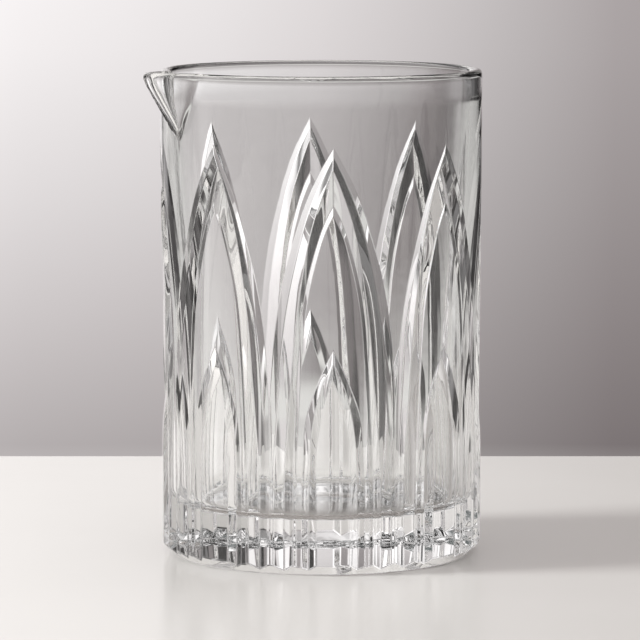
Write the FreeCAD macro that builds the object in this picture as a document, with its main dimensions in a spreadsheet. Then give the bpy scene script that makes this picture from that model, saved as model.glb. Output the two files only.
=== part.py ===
import FreeCAD, Part
import math
import os
import re
import Sketcher
from FreeCAD import Vector

doc = FreeCAD.newDocument("MixingGlass")

# Driving dimensions, millimetres unless the note says otherwise.
SIZES = [
    ("overall_height", 146.0, "foot plane to rim crest"),
    ("wall_radius", 48.3, "outer wall"),
    ("band_low", 127.0, "where the cut pattern ends and the plain band begins"),
    ("mouth_radius", 45.2, "straight mouth, inside"),
    ("mouth_low", 138.0, "height where the straight mouth ends and the taper begins"),
    ("upper_taper", 114.0, "height where the taper first eases off"),
    ("upper_radius", 43.96, "inside radius there"),
    ("middle_taper", 80.0, "height where the taper eases off again"),
    ("middle_radius", 42.54, "inside radius there"),
    ("rim_round", 1.55, "full round of the rim, half the wall thickness"),
    ("floor_radius", 41.0, "inside radius at the floor"),
    ("floor_height", 15.5, "thickness of the heavy base"),
    ("floor_round", 4.0, "inside corner at the floor"),
    ("punt_height", 1.2, "hollow under the base"),
    ("punt_sphere", 602.3, "radius of the hollow under the base"),
    ("foot_bevel", 3.3, "height of the bevel at the foot"),
    ("foot_flat", 45.0, "outer radius of the foot, under the bevel"),
    ("lip_reach", 58.5, "axis to the tip of the pouring lip"),
    ("lip_top", 145.7, "top face of the lip"),
    ("lip_low", 120.0, "lowest section of the lip, buried in the wall"),
    ("lip_low_reach", 44.0, "axis to the keel at the lowest section"),
    ("lip_root", 36.0, "axis to the buried side of the lip"),
    ("lip_half_width", 15.07, "half width of the buried side at the top"),
    ("lip_low_half_width", 6.0, "half width of the buried side at the low end"),
    ("lip_nose", 7.18, "radius of the lip's nose at the top"),
    ("lip_nose_half", 6.51, "half of the nose's chord"),
    ("lip_nose_rise", 4.15, "nose beyond its chord"),
    ("lip_low_nose", 3.44, "radius of the lip's nose at the low end"),
    ("lip_low_nose_half", 3.12, "half of that nose's chord"),
    ("lip_low_nose_rise", 1.99, "that nose beyond its chord"),
    ("channel_top", 147.0, "highest section of the pouring channel, above the rim"),
    ("channel_low", 119.0, "lowest section of the pouring channel"),
    ("channel_reach", 56.4, "axis to the end of the channel at the top"),
    ("channel_low_reach", 40.8, "axis to the bottom of the channel at the low end"),
    ("channel_root", 34.0, "axis to the open side of the channel"),
    ("channel_half_width", 13.25, "half width of the open side at the top"),
    ("channel_low_half_width", 3.49, "half width of the open side at the low end"),
    ("channel_nose", 4.4, "end radius of the channel at the top"),
    ("channel_nose_half", 3.99, "half of that end's chord"),
    ("channel_nose_rise", 2.54, "that end beyond its chord"),
    ("channel_low_nose", 0.5, "end radius of the channel at the low end"),
    ("channel_low_nose_half", 0.45, "half of that end's chord"),
    ("channel_low_nose_rise", 0.29, "that end beyond its chord"),
    ("lip_round", 0.8, "rounded outer edge of the lip"),
    ("arch_count", 8.0, "arches around the wall, a plain number"),
    ("groove_depth", 2.0, "depth of the mitred cut of a large arch"),
    ("brow_depth", 0.45, "depth where the outer slope of that cut turns steeper"),
    ("brow_share", 0.42, "how far across the outer slope that is, a plain number"),
    ("crest_depth", 0.15, "depth of the crest inside that cut"),
    ("panel_depth", 0.65, "depth of the panel inside a large arch"),
    ("small_groove", 1.7, "depth of the mitred cut of a small arch"),
    ("petal_reach", 48.0, "axis to the upright part of the panel inside a small arch"),
    ("petal_bend", 38.0, "height where that panel starts to fall back"),
    ("petal_tip", 45.1, "axis to that panel at its tip"),
]

sheet = doc.addObject("Spreadsheet::Sheet", "Sizes")
for row, (alias, value, note) in enumerate(SIZES, start=1):
    sheet.set("A%d" % row, alias)
    sheet.set("B%d" % row, str(value))
    sheet.set("C%d" % row, note)
    sheet.setAlias("B%d" % row, alias)
doc.recompute()
size = {alias: float(sheet.get(alias)) for alias, value, note in SIZES}


def origin_plane(body, role):
    for item in body.Origin.OriginFeatures:
        if item.Role == role:
            return item
    raise ValueError(role)


def number(expression):
    """Value of an expression made of sheet aliases and plain numbers."""
    total = 0.0
    for term in expression.replace("-", "+-").split("+"):
        if term:
            sign = -1.0 if term.startswith("-") else 1.0
            word = term.strip("-")
            total += sign * (size[word] if word in size else float(word))
    return total


def bound(expression):
    """The same expression with each alias written as a sheet reference."""
    return re.sub("[a-z][a-z_]+", lambda word: "Sizes." + word.group(0), expression)


def outline(body, name, role, corners, arcs=None, lift=None):
    """Closed sketch through the corners; arcs maps a side's index to (radius, bulge)."""
    arcs = arcs or {}
    sketch = body.newObject("Sketcher::SketchObject", name)
    sketch.AttachmentSupport = [(origin_plane(body, role), "")]
    sketch.MapMode = "FlatFace"
    if lift:
        sketch.setExpression("AttachmentOffset.Base.z", bound(lift))
    count = len(corners)
    spots = [Vector(number(x), number(y), 0) for x, y in corners]
    for side in range(count):
        start = spots[side]
        end = spots[(side + 1) % count]
        if side in arcs:
            radius, bulge = arcs[side]
            chord = end - start
            across = Vector(-chord.y, chord.x, 0).normalize() * bulge
            reach = number(radius)
            rise = reach - math.sqrt(max(reach ** 2 - (chord.Length / 2) ** 2, 0.0))
            middle = (start + end) * 0.5 + across * rise
            ends = (end, start) if bulge > 0 else (start, end)
            sketch.addGeometry(Part.Arc(ends[0], middle, ends[1]), False)
        else:
            sketch.addGeometry(Part.LineSegment(start, end), False)

    # Arcs run anticlockwise, so the two ends of a side are found by position.
    def corner_of(side, spot):
        curve = sketch.Geometry[side]
        return 1 if (curve.StartPoint - spot).Length < (curve.EndPoint - spot).Length else 2

    for side in range(count):
        after = (side + 1) % count
        joint = spots[after]
        sketch.addConstraint(Sketcher.Constraint("Coincident", side, corner_of(side, joint),
                                                 after, corner_of(after, joint)))
    for side in range(count):
        x_words, y_words = corners[side]
        end = corner_of(side, spots[side])
        for kind, words in (("DistanceX", x_words), ("DistanceY", y_words)):
            value = number(words)
            index = sketch.addConstraint(Sketcher.Constraint(kind, -1, 1, side, end, value))
            if words.strip("-0.").strip():
                sketch.setExpression("Constraints[%d]" % index, bound(words))
    for side, (radius, bulge) in arcs.items():
        index = sketch.addConstraint(Sketcher.Constraint("Radius", side, number(radius)))
        sketch.setExpression("Constraints[%d]" % index, bound(radius))
    doc.recompute()
    return sketch


# --- Above the pattern: the plain band, the rim and the pouring lip. ---
upper = doc.addObject("PartDesign::Body", "UpperBand")

band_profile = outline(upper, "BandProfile", "XZ_Plane", [
    ("0", "band_low"),
    ("wall_radius", "band_low"),
    ("wall_radius", "overall_height-rim_round"),
    ("wall_radius-rim_round", "overall_height"),
    ("0", "overall_height"),
], {2: ("rim_round", -1)})
band = upper.newObject("PartDesign::Revolution", "Band")
band.Profile = band_profile
band.ReferenceAxis = (band_profile, ["V_Axis"])
band.Angle = 360
doc.recompute()


def beak_section(body, name, words, lift):
    """A pointed section with a round nose towards -X, named by the front of its aliases."""
    chord = "-%s_reach+%s_nose_rise" % (words, words)
    root = "-%s_root" % words.split("_")[0]
    return outline(body, name, "XY_Plane", [
        (root, words + "_half_width"),
        (chord, words + "_nose_half"),
        (chord, "-%s_nose_half" % words),
        (root, "-%s_half_width" % words),
    ], {1: (words + "_nose", -1)}, lift)


lip_top = beak_section(upper, "LipTop", "lip", "lip_top")
lip_low = beak_section(upper, "LipLow", "lip_low", "lip_low")
lip = upper.newObject("PartDesign::AdditiveLoft", "PouringLip")
lip.Profile = lip_low
lip.Sections = [lip_top]
lip.Ruled = True
doc.recompute()

# The lip's top edges are rounded, all but the buried one.
TINY = 0.01
lip_rim = []
for index, edge in enumerate(lip.Shape.Edges, start=1):
    level = all(abs(vertex.Z - size["lip_top"]) < TINY for vertex in edge.Vertexes)
    if level and edge.CenterOfMass.x < -size["lip_root"] - TINY:
        lip_rim.append("Edge%d" % index)
rounded = upper.newObject("PartDesign::Fillet", "RoundedLip")
rounded.Base = (lip, lip_rim)
rounded.setExpression("Radius", "Sizes.lip_round")
doc.recompute()

# --- What the vessel is hollowed by: the inside and the pouring channel. ---
inner = doc.addObject("PartDesign::Body", "InnerForm")
inner_profile = outline(inner, "InnerProfile", "XZ_Plane", [
    ("0", "floor_height"),
    ("floor_radius-floor_round", "floor_height"),
    ("floor_radius", "floor_height+floor_round"),
    ("middle_radius", "middle_taper"),
    ("upper_radius", "upper_taper"),
    ("mouth_radius", "mouth_low"),
    ("mouth_radius", "overall_height-rim_round"),
    ("mouth_radius+rim_round", "overall_height"),
    ("mouth_radius+rim_round", "channel_top"),
    ("0", "channel_top"),
], {1: ("floor_round", -1), 6: ("rim_round", 1)})
hollow = inner.newObject("PartDesign::Revolution", "Hollow")
hollow.Profile = inner_profile
hollow.ReferenceAxis = (inner_profile, ["V_Axis"])
hollow.Angle = 360
doc.recompute()

channel_top = beak_section(inner, "ChannelTop", "channel", "channel_top")
channel_low = beak_section(inner, "ChannelLow", "channel_low", "channel_low")
channel = inner.newObject("PartDesign::AdditiveLoft", "PouringChannel")
channel.Profile = channel_low
channel.Sections = [channel_top]
channel.Ruled = True
doc.recompute()

# --- What is ground away round the foot. ---
relief = doc.addObject("PartDesign::Body", "FootRelief")
relief_profile = outline(relief, "ReliefProfile", "XZ_Plane", [
    ("foot_flat", "0"),
    ("wall_radius", "foot_bevel"),
    ("wall_radius+foot_bevel", "foot_bevel"),
    ("wall_radius+foot_bevel", "-foot_bevel"),
    ("foot_flat", "-foot_bevel"),
])
ground = relief.newObject("PartDesign::Revolution", "GroundBevel")
ground.Profile = relief_profile
ground.ReferenceAxis = (relief_profile, ["V_Axis"])
ground.Angle = 360
doc.recompute()

punt = doc.addObject("Part::Sphere", "Punt")
punt.setExpression("Radius", "Sizes.punt_sphere")
punt.setExpression("Placement.Base.z", "Sizes.punt_height - Sizes.punt_sphere")

# --- The cut pattern. Each pair reads (distance round the wall from the arch's centre line, height). ---
# Large arch, from outside in: edge on the wall, mitre at full depth, crest, edge of the panel.
OUTER = [(20.0, 0.0), (20.0, 18.0), (19.7, 36.0), (19.0, 49.5), (18.2, 62.0), (17.3, 72.0),
         (16.1, 80.0), (14.0, 90.0), (11.2, 100.0), (7.9, 110.0), (5.6, 115.2), (3.1, 120.0), (0.0, 125.5)]
MITRE = [(15.0, 0.0), (15.0, 18.0), (14.6, 34.0), (13.6, 46.0), (12.7, 56.0), (11.9, 66.0),
         (11.0, 75.0), (9.6, 85.0), (7.9, 95.0), (5.6, 104.5), (3.8, 109.7), (2.0, 114.5), (0.0, 119.0)]
CREST = [(12.0, 0.0), (12.0, 18.0), (11.8, 34.0), (11.3, 46.0), (10.8, 56.5), (10.2, 66.0),
         (9.5, 75.0), (8.0, 85.0), (5.5, 95.0), (3.95, 100.0), (2.0, 105.0), (0.0, 108.7)]
LEDGE = [(10.9, 0.0), (10.9, 18.0), (10.7, 34.0), (10.2, 46.0), (9.7, 56.5), (9.1, 66.0),
         (8.35, 75.0), (6.8, 85.0), (4.3, 95.0), (2.75, 100.0), (0.95, 104.0), (0.0, 105.8)]
# Small arch inside it: edge on the panel, mitre, edge of its own flat panel.
SMALL_OUTER = [(9.6, 0.0), (9.6, 14.0), (9.4, 28.0), (8.9, 39.0), (7.8, 48.0), (6.1, 53.0),
               (3.2, 60.0), (1.5, 63.5), (0.0, 66.5)]
SMALL_MITRE = [(7.4, 0.0), (7.4, 14.0), (7.2, 28.0), (6.8, 38.0), (5.7, 46.5), (4.3, 52.5),
               (2.4, 58.0), (0.0, 62.8)]
SMALL_INNER = [(5.0, 0.0), (5.1, 14.0), (5.3, 28.0), (5.1, 38.0), (4.35, 43.0), (3.4, 47.5),
               (1.9, 53.0), (0.0, 57.8)]
# Points along a stretch of a line, and halvings in the search for a crossing.
STEPS = 24
HALVINGS = 60

wall = size["wall_radius"]
petal = size["petal_reach"]
petal_bend = size["petal_bend"]
petal_tip = size["petal_tip"]
band_low = size["band_low"]
arches = int(size["arch_count"])
border = wall * math.pi / arches


def on_wall(around, height, depth):
    """Point at a depth below the wall; an arch is drawn about the +X direction."""
    angle = around / wall
    return Vector((wall - depth) * math.cos(angle), (wall - depth) * math.sin(angle), height)


def on_petal(around, height):
    """Point on the small arch's panel: upright below the bend, falling back towards the tip above it."""
    fall = (petal - petal_tip) / (SMALL_INNER[-1][1] - petal_bend)
    reach = petal - fall * max(0.0, height - petal_bend)
    return Vector(reach, reach * math.tan(around / wall), height)


def smooth(points):
    curve = Part.BSplineCurve()
    curve.interpolate(points)
    return curve


def drawn(pairs):
    """The smooth line through the pairs, on the unrolled wall."""
    return smooth([Vector(around, height, 0) for around, height in pairs])


def part_of(curve, first, last, steps):
    """Evenly spaced points on a stretch of a drawn line, first and last as shares of its length."""
    start = curve.FirstParameter
    run = curve.LastParameter - start
    return [curve.value(start + run * (first + (last - first) * k / steps)) for k in range(steps + 1)]


def raised(curve, first, last, depth):
    """A stretch of a drawn line, wrapped onto the wall at a depth."""
    return smooth([on_wall(spot.x, spot.y, depth) for spot in part_of(curve, first, last, STEPS)]).toShape()


def two_stretches(pairs, split, depth):
    """The line through the pairs at a depth, as a low and a high stretch that meet at a share of it."""
    line = drawn(pairs)
    return raised(line, 0.0, split, depth), raised(line, split, 1.0, depth)


def share_where(line, test):
    """Share of a drawn line where a test that holds at its start stops holding."""
    low, high = 0.0, 1.0
    for attempt in range(HALVINGS):
        middle = (low + high) / 2
        if test(part_of(line, middle, 1.0, 1)[0]):
            low = middle
        else:
            high = middle
    return low


def arc_round(left, right, height, depth):
    return Part.Arc(on_wall(left, height, depth), on_wall((left + right) / 2, height, depth),
                    on_wall(right, height, depth)).toShape()


def mirrored(shape):
    return shape.mirror(Vector(0, 0, 0), Vector(0, 1, 0))


def closed(edges):
    return Part.Wire(Part.__sortEdges__(edges))


def round_face(radius, edges):
    """Face of an upright cylinder about the axis, inside a loop of edges that lie on it."""
    cylinder = Part.Cylinder()
    cylinder.Radius = radius
    # The seam goes to the far side, away from the loop.
    cylinder.rotate(FreeCAD.Placement(Vector(0, 0, 0), FreeCAD.Rotation(Vector(0, 0, 1), 180)))
    face = Part.Face(cylinder, closed(edges))
    face.validate()
    return face


groove = size["groove_depth"]
panel = size["panel_depth"]
outer_line = drawn(OUTER)
mitre_line = drawn(MITRE)

# Two neighbouring arches meet where the outer edge crosses the border between them.
meeting = share_where(outer_line, lambda spot: spot.x > border)
meeting_height = part_of(outer_line, meeting, 1.0, 1)[0].y

# Below that place their slopes meet in an upright ridge on the border.
ridge_points = []
for outer, mitre in zip(part_of(outer_line, 0.0, meeting, STEPS), part_of(mitre_line, 0.0, meeting, STEPS)):
    share = (border - mitre.x) / (outer.x - mitre.x)
    depth = size["brow_depth"] * (1 - share) / size["brow_share"]
    ridge_points.append(on_wall(border, mitre.y + (outer.y - mitre.y) * share, depth))


def brow(first, last):
    """A stretch of the line where the outer slope turns steeper."""
    spots = []
    for outer, mitre in zip(part_of(outer_line, first, last, STEPS), part_of(mitre_line, first, last, STEPS)):
        place = outer + (mitre - outer) * size["brow_share"]
        spots.append(on_wall(place.x, place.y, size["brow_depth"]))
    return smooth(spots).toShape()


ridge = smooth(ridge_points).toShape()
brow_low = brow(0.0, meeting)
brow_high = brow(meeting, 1.0)
outer_edge = raised(outer_line, meeting, 1.0, 0.0)
mitre_low, mitre_high = two_stretches(MITRE, meeting, groove)
crest_low, crest_high = two_stretches(CREST, meeting, size["crest_depth"])
ledge_low, ledge_high = two_stretches(LEDGE, meeting, panel)

# The small arch's panel bends once; every line round it is split where it does.
petal_line = drawn(SMALL_INNER)
bend = share_where(petal_line, lambda spot: spot.y < petal_bend)
small_low, small_high = two_stretches(SMALL_OUTER, bend, panel)
notch_low, notch_high = two_stretches(SMALL_MITRE, bend, size["small_groove"])
petal_low = smooth([on_petal(spot.x, spot.y) for spot in part_of(petal_line, 0.0, bend, STEPS)]).toShape()
petal_high = smooth([on_petal(spot.x, spot.y) for spot in part_of(petal_line, bend, 1.0, STEPS)]).toShape()


def start_of(edge):
    return edge.valueAt(edge.FirstParameter)


def across(spot):
    """Straight edge between a place and its mirror image over the arch's centre line."""
    return Part.makeLine(Vector(spot.x, -spot.y, spot.z), spot)


small_from = SMALL_OUTER[0][0]
ledge_at = LEDGE[0][0]
sector = [
    round_face(wall, [
        outer_edge,
        mirrored(outer_edge),
        Part.makeLine(on_wall(border, meeting_height, 0), on_wall(border, band_low, 0)),
        arc_round(-border, border, band_low, 0),
        Part.makeLine(on_wall(-border, band_low, 0), on_wall(-border, meeting_height, 0)),
    ]),
    round_face(wall - panel, [
        ledge_low,
        ledge_high,
        mirrored(ledge_low),
        mirrored(ledge_high),
        small_low,
        small_high,
        mirrored(small_low),
        mirrored(small_high),
        arc_round(small_from, ledge_at, 0.0, panel),
        arc_round(-ledge_at, -small_from, 0.0, panel),
    ]),
    Part.Face(closed([
        petal_low,
        mirrored(petal_low),
        across(start_of(petal_low)),
        across(start_of(petal_high)),
    ])),
    Part.Face(closed([petal_high, mirrored(petal_high), across(start_of(petal_high))])),
]
for first, second in ((brow_low, ridge), (brow_high, outer_edge), (mitre_low, brow_low),
                      (mitre_high, brow_high), (crest_low, mitre_low), (crest_high, mitre_high),
                      (ledge_low, crest_low), (ledge_high, crest_high),
                      (notch_low, small_low), (notch_high, small_high), (petal_low, notch_low),
                      (petal_high, notch_high)):
    slope = Part.makeRuledSurface(first, second)
    sector.append(slope)
    sector.append(mirrored(slope))

# Edges of the foot plane under one arch.
low_edges = [across(start_of(petal_low))]
for first, second in ((petal_low, notch_low), (notch_low, small_low), (ledge_low, crest_low),
                      (crest_low, mitre_low), (mitre_low, brow_low), (brow_low, ridge)):
    low_edge = Part.makeLine(start_of(first), start_of(second))
    low_edges.append(low_edge)
    low_edges.append(mirrored(low_edge))
low_edges.append(arc_round(small_from, ledge_at, 0.0, panel))
low_edges.append(arc_round(-ledge_at, -small_from, 0.0, panel))

# The arches stand half a pitch off the lip, so the lip is over a border.
skin = []
foot_edges = []
top_edges = []
for index in range(arches):
    turn = 360.0 / arches * (index + 0.5)
    for shapes, target in ((sector, skin), (low_edges, foot_edges),
                           ([arc_round(-border, border, band_low, 0)], top_edges)):
        for shape in shapes:
            turned = shape.copy()
            turned.rotate(Vector(0, 0, 0), Vector(0, 0, 1), turn)
            target.append(turned)
skin.append(Part.Face(closed(foot_edges)))
skin.append(Part.Face(closed(top_edges)))
shell = Part.makeShell(skin)
shell.sewShape()

# The patterned wall is a closed skin of ruled slopes, flats and round panels.
# No sketch-based feature draws slopes that follow two curves on a round wall.
patterned = doc.addObject("Part::Feature", "PatternedWall")
patterned.Shape = Part.makeSolid(shell)
patterned.Placement = FreeCAD.Placement(Vector(0, 0, 0), FreeCAD.Rotation())

# --- The vessel. ---
outside = doc.addObject("Part::MultiFuse", "Outside")
outside.Shapes = [patterned, upper]
footed = doc.addObject("Part::Cut", "Footed")
footed.Base = outside
footed.Tool = relief
hollowed = doc.addObject("Part::Cut", "Hollowed")
hollowed.Base = footed
hollowed.Tool = inner
vessel = doc.addObject("Part::Cut", "GlassVessel")
vessel.Base = hollowed
vessel.Tool = punt
vessel.Label = "glass_vessel"
doc.recompute()

for item in doc.Objects:
    if "Invalid" in item.State or "Error" in item.State:
        raise RuntimeError("%s is %s" % (item.Name, item.State))
for item in (patterned, upper, inner, relief, outside, footed, hollowed, vessel):
    if item.Shape.isNull() or not item.Shape.isValid():
        raise RuntimeError("%s has no valid shape" % item.Name)
if len(vessel.Shape.Solids) != 1:
    raise RuntimeError("the vessel is not one solid")

os.makedirs("parts", exist_ok=True)
vessel.Shape.exportStep("parts/%s.step" % vessel.Label)
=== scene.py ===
import math

import bmesh
import bpy
import numpy as np
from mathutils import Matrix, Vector


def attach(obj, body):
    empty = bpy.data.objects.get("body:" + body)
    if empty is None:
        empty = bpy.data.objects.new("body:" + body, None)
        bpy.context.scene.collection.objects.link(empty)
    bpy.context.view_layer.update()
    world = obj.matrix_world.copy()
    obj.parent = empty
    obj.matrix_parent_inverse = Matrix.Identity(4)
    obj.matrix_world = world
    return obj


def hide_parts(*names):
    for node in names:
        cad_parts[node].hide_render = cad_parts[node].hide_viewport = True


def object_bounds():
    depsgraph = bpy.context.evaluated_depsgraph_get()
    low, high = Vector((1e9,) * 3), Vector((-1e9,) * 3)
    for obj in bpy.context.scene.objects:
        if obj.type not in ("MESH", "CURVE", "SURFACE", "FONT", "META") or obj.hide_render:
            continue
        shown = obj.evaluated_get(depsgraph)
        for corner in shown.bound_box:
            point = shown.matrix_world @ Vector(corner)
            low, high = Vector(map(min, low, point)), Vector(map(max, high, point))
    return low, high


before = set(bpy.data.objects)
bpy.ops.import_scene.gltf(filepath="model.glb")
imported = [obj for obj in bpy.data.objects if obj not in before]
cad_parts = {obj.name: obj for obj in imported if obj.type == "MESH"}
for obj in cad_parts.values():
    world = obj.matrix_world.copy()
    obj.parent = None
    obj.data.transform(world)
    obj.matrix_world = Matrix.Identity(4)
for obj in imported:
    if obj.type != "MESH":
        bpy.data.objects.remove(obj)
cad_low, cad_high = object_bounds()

# Driving sizes in millimetres, in the frame's axes. The outer ones come from the frame.
MM = 0.001
HEIGHT = cad_high.z / MM
WALL = cad_high.x / MM
LIP_REACH = -cad_low.x / MM
BAND_LOW = 127.0
RIM_ROUND = 1.55
RIM_LOW = HEIGHT - RIM_ROUND
MOUTH = WALL - 2 * RIM_ROUND
MOUTH_LOW, MOUTH_SLOPE = 138.0, 0.056
FLOOR, FLOOR_HEIGHT, FLOOR_ROUND = 41.0, 15.5, 4.0
TAPER_LOW = FLOOR_HEIGHT + FLOOR_ROUND
FOOT_BEVEL, FOOT = 3.3, 45.0
PUNT_RADIUS, PUNT_HEIGHT = 38.0, 1.2
ARCHES = 8
BORDER = WALL * math.pi / ARCHES

# Depths of the cut pattern below the wall, and the panel of the small arch.
GROOVE, CREST, PANEL, SMALL_GROOVE = 2.0, 0.15, 0.65, 1.7
BROW_SHARE, BROW = 0.42, 0.45
PETAL, PETAL_BEND, PETAL_DROP = 48.0, 32.0, 2.9

# Half of one arch, from outside to inside: its edge, groove, crest and ledge, then the small arch's edge,
# groove and panel. Each point is (distance round the wall from the arch's centre line, height).
OUTER = [(20.0, 3.3), (20.0, 18.0), (19.7, 36.0), (19.0, 49.5), (18.2, 62.0), (17.3, 72.0),
         (16.1, 80.0), (14.0, 90.0), (11.2, 100.0), (7.9, 110.0), (5.6, 115.2), (3.1, 120.0), (0.0, 125.5)]
MITRE = [(15.0, 3.3), (15.0, 18.0), (14.6, 34.0), (13.6, 46.0), (12.7, 56.0), (11.9, 66.0),
         (11.0, 75.0), (9.6, 85.0), (7.9, 95.0), (5.6, 104.5), (3.8, 109.7), (2.0, 114.5), (0.0, 119.0)]
INNER = [(12.0, 3.3), (12.0, 18.0), (11.8, 34.0), (11.3, 46.0), (10.8, 56.5), (10.2, 66.0),
         (9.5, 75.0), (8.0, 85.0), (5.5, 95.0), (3.95, 100.0), (2.0, 105.0), (0.0, 108.7)]
LEDGE = [(10.9, 3.3), (10.9, 18.0), (10.7, 34.0), (10.2, 46.0), (9.7, 56.5), (9.1, 66.0),
         (8.35, 75.0), (6.8, 85.0), (4.3, 95.0), (2.75, 100.0), (0.95, 104.0), (0.0, 105.8)]
SMALL_OUTER = [(9.6, 3.3), (9.6, 14.0), (9.4, 28.0), (8.9, 39.0), (7.8, 48.0), (6.1, 53.0),
               (3.2, 60.0), (1.5, 63.5), (0.0, 66.5)]
SMALL_MITRE = [(7.4, 3.3), (7.4, 14.0), (7.2, 28.0), (6.8, 38.0), (5.7, 46.5), (4.3, 52.5),
               (2.4, 58.0), (0.0, 62.8)]
SMALL_INNER = [(5.0, 3.3), (5.1, 14.0), (5.3, 28.0), (5.1, 38.0), (4.35, 43.0), (3.4, 47.5),
               (1.9, 53.0), (0.0, 57.8)]

# The pouring lip: the keel outside, the channel inside. A line is (height, reach) from low to high, and the
# noses are the radius of the outline's end, low and high.
LIP_WALL = 2.8
BEND_HEIGHT, BEND_REACH = 142.5, 57.2
KEEL_LOW, CHANNEL_LOW = 127.3, 125.3
KEEL = ((KEEL_LOW, 48.2), (BEND_HEIGHT, BEND_REACH), (RIM_LOW, LIP_REACH))
KEEL_NOSES = (4.5, 7.0)
CHANNEL = ((CHANNEL_LOW, 44.4), (BEND_HEIGHT, BEND_REACH - LIP_WALL), (RIM_LOW, LIP_REACH - LIP_WALL))
CHANNEL_NOSES = (1.4, 4.2)
FLANK = math.radians(25)
FLANK_RUN = 30.0
BLEND, BLEND_RISE = 4.0, 10.0

# How finely the surface is divided. A crease has a row of points EDGE away from it on each side.
EDGE, EDGE_SHARE = 0.4, 0.3
LEG_ROWS, TIP_ROWS, FIRST_SHARE, LAST_SHARE = 15, 42, 0.002, 0.996
PANEL_SPANS, FLAT_SPANS, SLOPE_SPANS, NARROW_SPANS = 6, 8, 4, 3
BEVEL_SHARES = (0.12, 0.5, 0.88, 1.0)
UNDERSIDE_RADII = (44.7, 41.0, 38.6, PUNT_RADIUS, 37.2, 31.0, 22.0, 12.0, 0.0)
NOSE_POINTS, RUN_POINTS, FLANK_POINTS = 60, 600, 22
LIP_ROWS, KEEL_FIRST, CHANNEL_LAST = 15, 0.3, 0.2
RIM_TURNS, CORNER_TURNS = 13, 9
FINE_HEIGHTS = (121.0, 116.0)
COARSE_HEIGHTS = (108.0, 98.0, 88.0, 78.0, 68.0, 58.0, 48.0, 38.0, 29.0, 22.0, TAPER_LOW)
FLOOR_RADII = (34.0, 26.0, 16.0, 0.0)
HALVINGS, TINY = 50, 1e-12
MERGE, SLIVER = 0.002 * MM, 0.001 * MM


def smooth_line(pairs):
    """A natural cubic spline through the pairs; returns a function of the share along it."""
    knots = np.array(pairs)
    gaps = np.linalg.norm(np.diff(knots, axis=0), axis=1)
    spots = np.concatenate([[0.0], np.cumsum(gaps)])
    count = len(knots)
    system = np.eye(count)
    right = np.zeros((count, 2))
    for k in range(1, count - 1):
        system[k, k - 1:k + 2] = gaps[k - 1], 2 * (gaps[k - 1] + gaps[k]), gaps[k]
        right[k] = 6 * ((knots[k + 1] - knots[k]) / gaps[k] - (knots[k] - knots[k - 1]) / gaps[k - 1])
    bend = np.linalg.solve(system, right)

    def at(shares):
        along = np.atleast_1d(shares) * spots[-1]
        k = np.clip(np.searchsorted(spots, along, side="right") - 1, 0, count - 2)
        gap = gaps[k][:, None]
        before = (along - spots[k])[:, None]
        after = (spots[k + 1] - along)[:, None]
        curved = (bend[k] * after ** 3 + bend[k + 1] * before ** 3) / (6 * gap)
        straight = (knots[k] / gap - bend[k] * gap / 6) * after
        return curved + straight + (knots[k + 1] / gap - bend[k + 1] * gap / 6) * before

    return at


def on_wall(flat, depth):
    """Points (distance round the wall, height) taken to a depth below the wall, about the +X direction."""
    angle = flat[:, 0] / WALL
    reach = WALL - depth
    return np.stack([reach * np.cos(angle), reach * np.sin(angle), flat[:, 1]], axis=-1)


def on_petal(flat):
    """Points on the panel of a small arch: upright near the foot, falling back towards its tip."""
    rise = np.maximum(0.0, flat[:, 1] - PETAL_BEND) / (SMALL_INNER[-1][1] - PETAL_BEND)
    reach = PETAL - PETAL_DROP * rise ** 2
    return np.stack([reach, reach * np.tan(flat[:, 0] / WALL), flat[:, 1]], axis=-1)


def spread(count, width, far_crease):
    """Shares from 0 to 1 in even steps, and one more close to the first end and to a creased far end."""
    tight = min(EDGE / max(width, TINY), EDGE_SHARE)
    last = [1 - tight, 1.0] if far_crease else [1.0]
    inner = np.linspace(tight, last[0], count + 1)[1:-1]
    return np.concatenate([[0.0, tight], inner, last])


def between(first, second, count, far_crease=True, place=None):
    """A sheet of points from one line of points to another; place turns flat points into real ones."""
    rows = []
    for a, b in zip(first, second):
        shares = spread(count, np.linalg.norm(b - a), far_crease)[:, None]
        row = a + (b - a) * shares
        rows.append(place(row) if place else row)
    return np.array(rows)


def meeting_share(outer):
    """The share along the outer line at which it leaves the border with the next arch."""
    low, high = 0.0, 1.0
    for attempt in range(HALVINGS):
        middle = (low + high) / 2
        if outer(middle)[0, 0] > BORDER:
            low = middle
        else:
            high = middle
    return low


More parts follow.
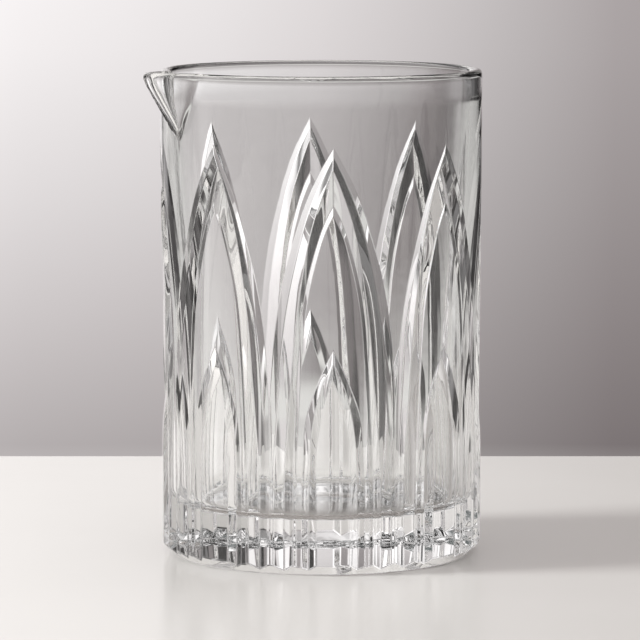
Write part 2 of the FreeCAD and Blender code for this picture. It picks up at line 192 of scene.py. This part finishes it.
def arch_sheets():
    """The sheets of half an arch, its lowest line, and how many rows run up from where two arches part."""
    outer = smooth_line(OUTER)
    meeting = meeting_share(outer)
    shares = np.concatenate([[0.0, FIRST_SHARE], np.linspace(0.0, meeting, LEG_ROWS)[1:],
                             np.linspace(meeting, 1.0, TIP_ROWS)[1:-1], [LAST_SHARE, 1.0]])
    upper = shares >= meeting
    columns = int(upper.sum())
    outside = outer(shares)
    bottom, inside, shelf, small_out, small_low, small_in = (
        smooth_line(line)(shares) for line in (MITRE, INNER, LEDGE, SMALL_OUTER, SMALL_MITRE, SMALL_INNER))

    # Below the meeting, two arches share a ridge where their outer slopes cross.
    cross = (BORDER - bottom[:, 0]) / (outside[:, 0] - bottom[:, 0] + TINY)
    ridge_height = bottom[:, 1] + (outside[:, 1] - bottom[:, 1]) * cross
    ridge_line = np.stack([np.full(len(shares), BORDER), ridge_height], axis=-1)
    ridge = on_wall(ridge_line, BROW * (1 - cross) / BROW_SHARE)
    edge = np.where(upper[:, None], on_wall(outside, 0.0), ridge)
    brow = on_wall(outside + (bottom - outside) * BROW_SHARE, BROW)
    valley = on_wall(bottom, GROOVE)
    crest = on_wall(inside, CREST)
    step = on_wall(shelf, PANEL)
    small_edge = on_wall(small_out, PANEL)
    small_valley = on_wall(small_low, SMALL_GROOVE)
    small_step = on_petal(small_in)

    top = np.stack([np.linspace(BORDER, 0.0, columns), np.full(columns, BAND_LOW)], axis=-1)
    centre = small_in * [0, 1]
    sheets = [
        between(small_in, centre, PANEL_SPANS, far_crease=False, place=on_petal),
        between(small_step, small_valley, NARROW_SPANS),
        between(small_valley, small_edge, NARROW_SPANS),
        between(small_out, shelf, FLAT_SPANS, place=lambda row: on_wall(row, PANEL)),
        between(step, crest, NARROW_SPANS),
        between(crest, valley, SLOPE_SPANS),
        between(valley, brow, SLOPE_SPANS),
        between(brow, edge, NARROW_SPANS),
        between(outside[upper], top, FLAT_SPANS, far_crease=False, place=lambda row: on_wall(row, 0.0)),
    ]
    # The lowest row of the pattern lies on the foot's bevel.
    for sheet in sheets[:-1]:
        sheet[0][:, 2] = (np.hypot(sheet[0][:, 0], sheet[0][:, 1]) - FOOT) * FOOT_BEVEL / (WALL - FOOT)
        sheet[1][:, 2] = sheet[0][:, 2] + EDGE
    low_line = np.concatenate([sheets[0][0][::-1]] + [sheet[0][1:] for sheet in sheets[1:-1]])
    return sheets, low_line, columns


def foot_sheet(low_line):
    """From the bottom of the pattern down the bevel, over the foot and up into the hollow under the base."""
    reach = np.hypot(low_line[:, 0], low_line[:, 1])
    flat_row = low_line * np.stack([FOOT / reach, FOOT / reach, 0 * reach], axis=-1)
    rows = [low_line] + [low_line + (flat_row - low_line) * share for share in BEVEL_SHARES]
    sphere = (PUNT_RADIUS ** 2 + PUNT_HEIGHT ** 2) / (2 * PUNT_HEIGHT)
    for radius in UNDERSIDE_RADII:
        lift = 0.0 if radius >= PUNT_RADIUS else math.sqrt(sphere ** 2 - radius ** 2) - sphere + PUNT_HEIGHT
        rows.append(flat_row * (radius / FOOT) + [0, 0, lift])
    return np.array(rows)


def inner_radius(height):
    """Inside radius of the plain wall: a short straight mouth, then a taper that eases off to the floor."""
    drop = MOUTH_LOW - TAPER_LOW
    below = max(0.0, MOUTH_LOW - height)
    ease = MOUTH_SLOPE - (MOUTH - FLOOR) / drop
    return MOUTH - MOUTH_SLOPE * below + ease * below ** 2 / drop


def beak_row(height, line, noses, wall):
    """Half of the lip's outline at a height, from its tip to where it has blended into the wall."""
    low, high = line[0][0], line[-1][0]
    if height <= low:
        return np.tile([wall, 0.0], (FLANK_POINTS + 1, 1))
    reach = np.interp(height, *zip(*line))
    nose = np.interp(height, (low, high), noses)
    blend = BLEND * min(1.0, (height - low) / BLEND_RISE)
    turn = np.linspace(0, math.pi / 2 - FLANK, NOSE_POINTS)
    arc = np.stack([reach - nose + nose * np.cos(turn), nose * np.sin(turn)], axis=-1)
    run = np.linspace(0, FLANK_RUN, RUN_POINTS)[1:, None]
    outline = np.concatenate([arc, arc[-1] + run * [-math.cos(FLANK), math.sin(FLANK)]])
    angle = np.arctan2(outline[:, 1], outline[:, 0])
    beyond = np.hypot(outline[:, 0], outline[:, 1]) - wall
    last = angle[np.argmax(beyond < -blend)]
    wanted = last * np.linspace(0, 1, FLANK_POINTS + 1)
    rise = np.interp(wanted, angle, beyond)
    overlap = np.clip(1 - np.abs(rise) / blend, 0, 1)
    radius = wall + np.maximum(rise, 0) + blend / 4 * overlap ** 2
    return np.stack([radius * np.cos(wanted), radius * np.sin(wanted)], axis=-1)


def ring(height, line, noses, wall, columns):
    """Half of a ring round the vessel, from the lip's tip to the far side; angle 0 is the lip."""
    flank = beak_row(height, line, noses, wall)
    start = math.atan2(flank[-1, 1], flank[-1, 0])
    step = math.pi / ARCHES
    near = np.linspace(start, step, columns)[1:]
    far = [np.linspace(step * k, step * (k + 1), columns)[1:] for k in range(1, ARCHES)]
    angle = np.concatenate([near] + far)
    wall_part = np.stack([wall * np.cos(angle), wall * np.sin(angle)], axis=-1)
    whole = np.concatenate([flank, wall_part])
    return np.concatenate([whole, np.full((len(whole), 1), height)], axis=1)


def upper_and_inside(columns):
    """One half of the rim and the inside: a fine sheet to below the lip, and a coarser one from there."""
    def inside_ring(height, radius):
        return ring(height, CHANNEL, CHANNEL_NOSES, radius, columns)

    upper = [ring(height, KEEL, KEEL_NOSES, WALL, columns)
             for height in [BAND_LOW, *np.linspace(KEEL_LOW + KEEL_FIRST, RIM_LOW, LIP_ROWS)]]
    outside_top = upper[-1]
    inside_top = inside_ring(RIM_LOW, MOUTH)
    middle, half = (outside_top + inside_top) / 2, (outside_top - inside_top) / 2
    for turn in np.linspace(0, math.pi, RIM_TURNS)[1:-1]:
        upper.append(middle + half * math.cos(turn) + [0, 0, RIM_ROUND * math.sin(turn)])
    upper.append(inside_top)
    for height in [*np.linspace(RIM_LOW, CHANNEL_LOW + CHANNEL_LAST, LIP_ROWS)[1:], *FINE_HEIGHTS]:
        upper.append(inside_ring(height, inner_radius(height)))

    lower = [inside_ring(height, inner_radius(height)) for height in COARSE_HEIGHTS]
    for turn in np.linspace(0, math.pi / 2, CORNER_TURNS)[1:]:
        radius = FLOOR - FLOOR_ROUND + FLOOR_ROUND * math.cos(turn)
        lower.append(inside_ring(TAPER_LOW - FLOOR_ROUND * math.sin(turn), radius))
    lower.extend(inside_ring(FLOOR_HEIGHT, radius) for radius in FLOOR_RADII)
    return np.array(upper), np.array(lower)[:, ::2]


def turned(points, angle, mirror):
    """Points mirrored across the XZ plane if asked, then turned about the axis."""
    points = points * [1, -1, 1] if mirror else points
    cos, sin = math.cos(angle), math.sin(angle)
    return points @ np.array([[cos, sin, 0], [-sin, cos, 0], [0, 0, 1]])


def joined(sheets):
    """All points of the sheets, their four-sided faces, and the number of each sheet's first point."""
    points, faces, starts, start = [], [], [], 0
    for sheet in sheets:
        rows, across = sheet.shape[:2]
        corner = (np.arange(rows - 1)[:, None] * across + np.arange(across - 1)).ravel() + start
        faces.extend(np.stack([corner, corner + 1, corner + across + 1, corner + across], axis=-1).tolist())
        points.append(sheet.reshape(-1, 3))
        starts.append(start)
        start += rows * across
    return np.concatenate(points), faces, starts


def build_vessel():
    sheets, low_line, columns = arch_sheets()
    sheets.append(foot_sheet(low_line))
    placed = []
    for index in range(ARCHES):
        angle = 2 * math.pi / ARCHES * (index + 0.5)
        for mirror in (False, True):
            placed.extend(turned(sheet, angle, mirror) for sheet in sheets)
    upper, lower = upper_and_inside(columns)
    for mirror in (False, True):
        placed.extend(turned(sheet, math.pi, mirror) for sheet in (upper, lower))

    points, faces, starts = joined(placed)
    # In each half, the fine sheet meets the coarser one: two spans above each span below.
    for fine, coarse in ((-4, -3), (-2, -1)):
        above = starts[fine] + (len(upper) - 1) * upper.shape[1]
        below = starts[coarse]
        for k in range(lower.shape[1] - 1):
            first, second = above + 2 * k, below + k
            faces.append([first, first + 1, second])
            faces.append([first + 1, second + 1, second])
            faces.append([first + 1, first + 2, second + 1])
    mesh = bpy.data.meshes.new("glass_vessel")
    mesh.from_pydata((points * MM).tolist(), [], faces)
    work = bmesh.new()
    work.from_mesh(mesh)
    bmesh.ops.remove_doubles(work, verts=work.verts, dist=MERGE)
    bmesh.ops.dissolve_degenerate(work, edges=work.edges, dist=SLIVER)
    bmesh.ops.recalc_face_normals(work, faces=work.faces)
    for face in work.faces:
        face.smooth = True
    open_edges = sum(1 for edge in work.edges if not edge.is_manifold)
    print("vessel: vertices", len(work.verts), "faces", len(work.faces), "open edges", open_edges)
    work.to_mesh(mesh)
    work.free()
    vessel = bpy.data.objects.new("mixing_glass", mesh)
    bpy.context.scene.collection.objects.link(vessel)
    return vessel


vessel = build_vessel()
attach(vessel, "root")
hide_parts("glass_vessel")


# --- Materials. ---
def new_material(name):
    material = bpy.data.materials.new(name)
    material.use_nodes = True
    nodes = material.node_tree.nodes
    nodes.clear()
    return material, nodes, material.node_tree.links


def clear_glass():
    """Pressed clear glass: slow waves in its surface, faint wiping haze, and a light shadow."""
    material, nodes, links = new_material("clear_glass")
    place = nodes.new("ShaderNodeTexCoord")
    waves = nodes.new("ShaderNodeTexNoise")
    waves.inputs["Scale"].default_value = 90.0
    waves.inputs["Detail"].default_value = 2.0
    links.new(place.outputs["Object"], waves.inputs["Vector"])
    bump = nodes.new("ShaderNodeBump")
    bump.inputs["Strength"].default_value = 0.05
    bump.inputs["Distance"].default_value = 0.0004
    links.new(waves.outputs["Fac"], bump.inputs["Height"])
    haze = nodes.new("ShaderNodeTexNoise")
    haze.inputs["Scale"].default_value = 34.0
    haze.inputs["Detail"].default_value = 6.0
    links.new(place.outputs["Object"], haze.inputs["Vector"])
    rough = nodes.new("ShaderNodeMapRange")
    rough.inputs["From Min"].default_value = 0.45
    rough.inputs["From Max"].default_value = 0.85
    rough.inputs["To Min"].default_value = 0.0
    rough.inputs["To Max"].default_value = 0.03
    links.new(haze.outputs["Fac"], rough.inputs["Value"])
    glass = nodes.new("ShaderNodeBsdfPrincipled")
    glass.inputs["Base Color"].default_value = (0.985, 0.992, 0.99, 1)
    glass.inputs["Transmission Weight"].default_value = 1.0
    glass.inputs["IOR"].default_value = 1.52
    links.new(rough.outputs["Result"], glass.inputs["Roughness"])
    links.new(bump.outputs["Normal"], glass.inputs["Normal"])
    through = nodes.new("ShaderNodeBsdfTransparent")
    through.inputs["Color"].default_value = (0.50, 0.465, 0.455, 1)
    path = nodes.new("ShaderNodeLightPath")
    mix = nodes.new("ShaderNodeMixShader")
    links.new(path.outputs["Is Shadow Ray"], mix.inputs["Fac"])
    links.new(glass.outputs["BSDF"], mix.inputs[1])
    links.new(through.outputs["BSDF"], mix.inputs[2])
    output = nodes.new("ShaderNodeOutputMaterial")
    links.new(mix.outputs["Shader"], output.inputs["Surface"])
    return material


def table_top():
    """Pale, faintly mottled, satin table."""
    material, nodes, links = new_material("pale_table")
    place = nodes.new("ShaderNodeTexCoord")
    mottle = nodes.new("ShaderNodeTexNoise")
    mottle.inputs["Scale"].default_value = 9.0
    mottle.inputs["Detail"].default_value = 5.0
    links.new(place.outputs["Object"], mottle.inputs["Vector"])
    tint = nodes.new("ShaderNodeValToRGB")
    tint.color_ramp.elements[0].color = (0.745, 0.722, 0.69, 1)
    tint.color_ramp.elements[1].color = (0.805, 0.782, 0.75, 1)
    links.new(mottle.outputs["Fac"], tint.inputs["Fac"])
    top = nodes.new("ShaderNodeBsdfPrincipled")
    links.new(tint.outputs["Color"], top.inputs["Base Color"])
    top.inputs["Roughness"].default_value = 0.22
    output = nodes.new("ShaderNodeOutputMaterial")
    links.new(top.outputs["BSDF"], output.inputs["Surface"])
    return material


vessel.data.materials.append(clear_glass())

# --- Camera: lengths in metres. ---
CAMERA_TURN, CAMERA_DOWN = math.radians(-26.8), math.radians(6.68)
CAMERA_AWAY, CAMERA_HIGH, CAMERA_ASIDE = 1.2, 0.2105, 0.0003
FOCAL_LENGTH, SENSOR = 225.0, 36.0
ahead = Vector((-math.sin(CAMERA_TURN), math.cos(CAMERA_TURN), 0))
sideways = Vector((ahead.y, -ahead.x, 0))
camera = bpy.data.objects.new("camera", bpy.data.cameras.new("camera"))
bpy.context.scene.collection.objects.link(camera)
camera.data.sensor_width = SENSOR
camera.data.lens = FOCAL_LENGTH
camera.location = -ahead * CAMERA_AWAY + Vector((0, 0, CAMERA_HIGH)) - sideways * CAMERA_ASIDE
look = ahead * math.cos(CAMERA_DOWN) - Vector((0, 0, math.sin(CAMERA_DOWN)))
camera.rotation_euler = look.to_track_quat("-Z", "Y").to_euler()
bpy.context.scene.camera = camera

# --- Table: a pale slab with a back edge, a hair below the foot so that no two faces coincide. ---
TABLE_BEHIND, TABLE_FRONT, TABLE_SIDE, TABLE_THICK, TABLE_GAP = 0.187, 1.2, 1.3, 0.03, 0.00002


def lay_table():
    corners = [ahead * depth + sideways * side
               for depth, side in ((TABLE_BEHIND, -TABLE_SIDE), (TABLE_BEHIND, TABLE_SIDE),
                                   (-TABLE_FRONT, TABLE_SIDE), (-TABLE_FRONT, -TABLE_SIDE))]
    under = [corner - Vector((0, 0, TABLE_THICK)) for corner in corners]
    mesh = bpy.data.meshes.new("table")
    mesh.from_pydata([tuple(corner) for corner in corners + under], [],
                     [(0, 3, 2, 1), (4, 5, 6, 7), (0, 1, 5, 4), (1, 2, 6, 5), (2, 3, 7, 6), (3, 0, 4, 7)])
    mesh.materials.append(table_top())
    table = bpy.data.objects.new("table", mesh)
    table.location.z = -TABLE_GAP
    bpy.context.scene.collection.objects.link(table)


lay_table()

# --- Surround: what the glass bends and mirrors, set by direction. It is not a plain studio. ---
# Stops are (degrees, brightness, warmth). AROUND counts degrees to the right of the view, the others upward.
AROUND = [(-180, 0.30, 0.05), (-90, 0.30, 0.05), (-84, 0.03, 0.04), (-64, 0.06, 0.03), (-60, 0.08, 0.03),
          (-52, 0.06, 0.03), (-48, 0.01, 0.04), (-40, 0.01, 0.04), (-36, 0.50, 0.03), (-27, 0.50, 0.03),
          (-23, 0.02, 0.04), (-20, 0.72, 0.03), (-14, 0.72, 0.03), (-8, 0.56, 0.03), (-4.5, 0.445, 0.035),
          (-1.7, 0.396, 0.04), (0.0, 0.35, 0.05), (2.9, 0.242, 0.06), (4.4, 0.19, 0.09), (9.5, 0.15, 0.08),
          (12.5, 0.14, 0.08), (15.5, 0.10, 0.10), (17, 0.01, 0.06), (29, 0.01, 0.03), (32, 0.08, 0.03),
          (42, 0.08, 0.03), (46, 0.01, 0.03), (58, 0.01, 0.03), (62, 0.45, 0.03), (68, 0.45, 0.03),
          (79, 0.015, 0.04), (180, 0.30, 0.05)]
CLIMB = [(-90, 0.30, 0.0), (-20, 0.30, 0.03), (-8.4, 0.495, 0.035), (-6.68, 0.65, 0.025), (-4.96, 0.80, 0.01),
         (-2.4, 1.0, 0.0), (6, 1.0, 0.0), (35, 0.8, 0.0), (90, 0.9, 0.0)]
OVERHEAD = [(-90, 0.34, 0.03), (40, 0.34, 0.03), (46, 0.06, -0.12), (56, 0.06, -0.12), (61, 0.57, 0.03),
            (90, 0.57, 0.03)]
OVERHEAD_FROM, OVERHEAD_FULL = 18.0, 38.0
# A pale strip just below the backdrop, as of a table that carries on; here brightness is the strip's share.
BELOW = [(-90, 0.0, 0.0), (-13, 0.0, 0.0), (-11.7, 0.85, 0.0), (-9.8, 0.85, 0.0), (-8.8, 0.0, 0.0)]
BELOW_COLOUR = (0.38, 0.372, 0.36, 1)
SURROUND_STRENGTH = 2.1
WARM_BLUE = 0.95


def surround():
    """Bright strips and dark gaps round the level, bands overhead, and a pale strip below the backdrop."""
    world = bpy.data.worlds.new("studio")
    bpy.context.scene.world = world
    world.use_nodes = True
    nodes, links = world.node_tree.nodes, world.node_tree.links
    nodes.clear()

    def feed(socket, value):
        if isinstance(value, bpy.types.NodeSocket):
            links.new(value, socket)
        else:
            socket.default_value = value

    def reckon(kind, first, second=None):
        node = nodes.new("ShaderNodeMath")
        node.operation = kind
        feed(node.inputs[0], first)
        if second is not None:
            feed(node.inputs[1], second)
        return node.outputs["Value"]

    def share_of(degrees, half):
        return reckon("ADD", reckon("DIVIDE", degrees, 2.0 * half), 0.5)

    def ramp(share, stops, half):
        """A colour by share, for stops in degrees from -half to half."""
        node = nodes.new("ShaderNodeValToRGB")
        elements = node.color_ramp.elements
        for number, (angle, level, warm) in enumerate(stops):
            spot = (angle + half) / (2 * half)
            element = elements[number] if number < 2 else elements.new(spot)
            element.position = spot
            element.color = (level, level * (1 - warm), level * (1 - WARM_BLUE * warm), 1)
        links.new(share, node.inputs["Fac"])
        return node.outputs["Color"]

    def mix(kind, share, first, second):
        node = nodes.new("ShaderNodeMix")
        node.data_type = "RGBA"
        node.blend_type = kind
        for name, value in (("Factor", share), ("A", first), ("B", second)):
            feed(node.inputs[name], value)
        return node.outputs["Result"]

    place = nodes.new("ShaderNodeTexCoord")
    turn = nodes.new("ShaderNodeMapping")
    turn.vector_type = "POINT"
    turn.inputs["Rotation"].default_value = (0, 0, -CAMERA_TURN)
    links.new(place.outputs["Generated"], turn.inputs["Vector"])
    parts = nodes.new("ShaderNodeSeparateXYZ")
    links.new(turn.outputs["Vector"], parts.inputs["Vector"])
    around = reckon("MULTIPLY", reckon("ARCTAN2", parts.outputs["X"], parts.outputs["Y"]), 180 / math.pi)
    climb = reckon("MULTIPLY", reckon("ARCSINE", parts.outputs["Z"]), 180 / math.pi)
    around_share, climb_share = share_of(around, 180), share_of(climb, 90)
    level = mix("MULTIPLY", 1.0, ramp(around_share, AROUND, 180), ramp(climb_share, CLIMB, 90))
    lifted = nodes.new("ShaderNodeMapRange")
    lifted.interpolation_type = "SMOOTHSTEP"
    lifted.inputs["From Min"].default_value = OVERHEAD_FROM
    lifted.inputs["From Max"].default_value = OVERHEAD_FULL
    links.new(climb, lifted.inputs["Value"])
    whole = mix("MIX", lifted.outputs["Result"], level, ramp(climb_share, OVERHEAD, 90))
    grounded = mix("MIX", ramp(climb_share, BELOW, 90), whole, BELOW_COLOUR)
    back = nodes.new("ShaderNodeBackground")
    links.new(grounded, back.inputs["Color"])
    back.inputs["Strength"].default_value = SURROUND_STRENGTH
    output = nodes.new("ShaderNodeOutputWorld")
    links.new(back.outputs["Background"], output.inputs["Surface"])


surround()


def soft_light(name, right, forward, up, size, power):
    """A square soft box aimed at the middle of the vessel, placed relative to the view, unseen in glass."""
    light = bpy.data.objects.new(name, bpy.data.lights.new(name, "AREA"))
    light.data.shape = "SQUARE"
    light.data.size = size
    light.data.energy = power
    light.visible_transmission = False
    light.visible_glossy = False
    light.location = sideways * right + ahead * forward + Vector((0, 0, up))
    aim = Vector((0, 0, HEIGHT * MM / 2)) - light.location
    light.rotation_euler = aim.to_track_quat("-Z", "Y").to_euler()
    bpy.context.scene.collection.objects.link(light)


soft_light("key", right=-1.6, forward=-0.3, up=0.8, size=0.42, power=36.0)

scene = bpy.context.scene
scene.view_settings.view_transform = "Standard"
scene.cycles.max_bounces = 24
scene.cycles.transmission_bounces = 24
scene.cycles.glossy_bounces = 12
scene.cycles.transparent_max_bounces = 24
scene.cycles.use_denoising = True
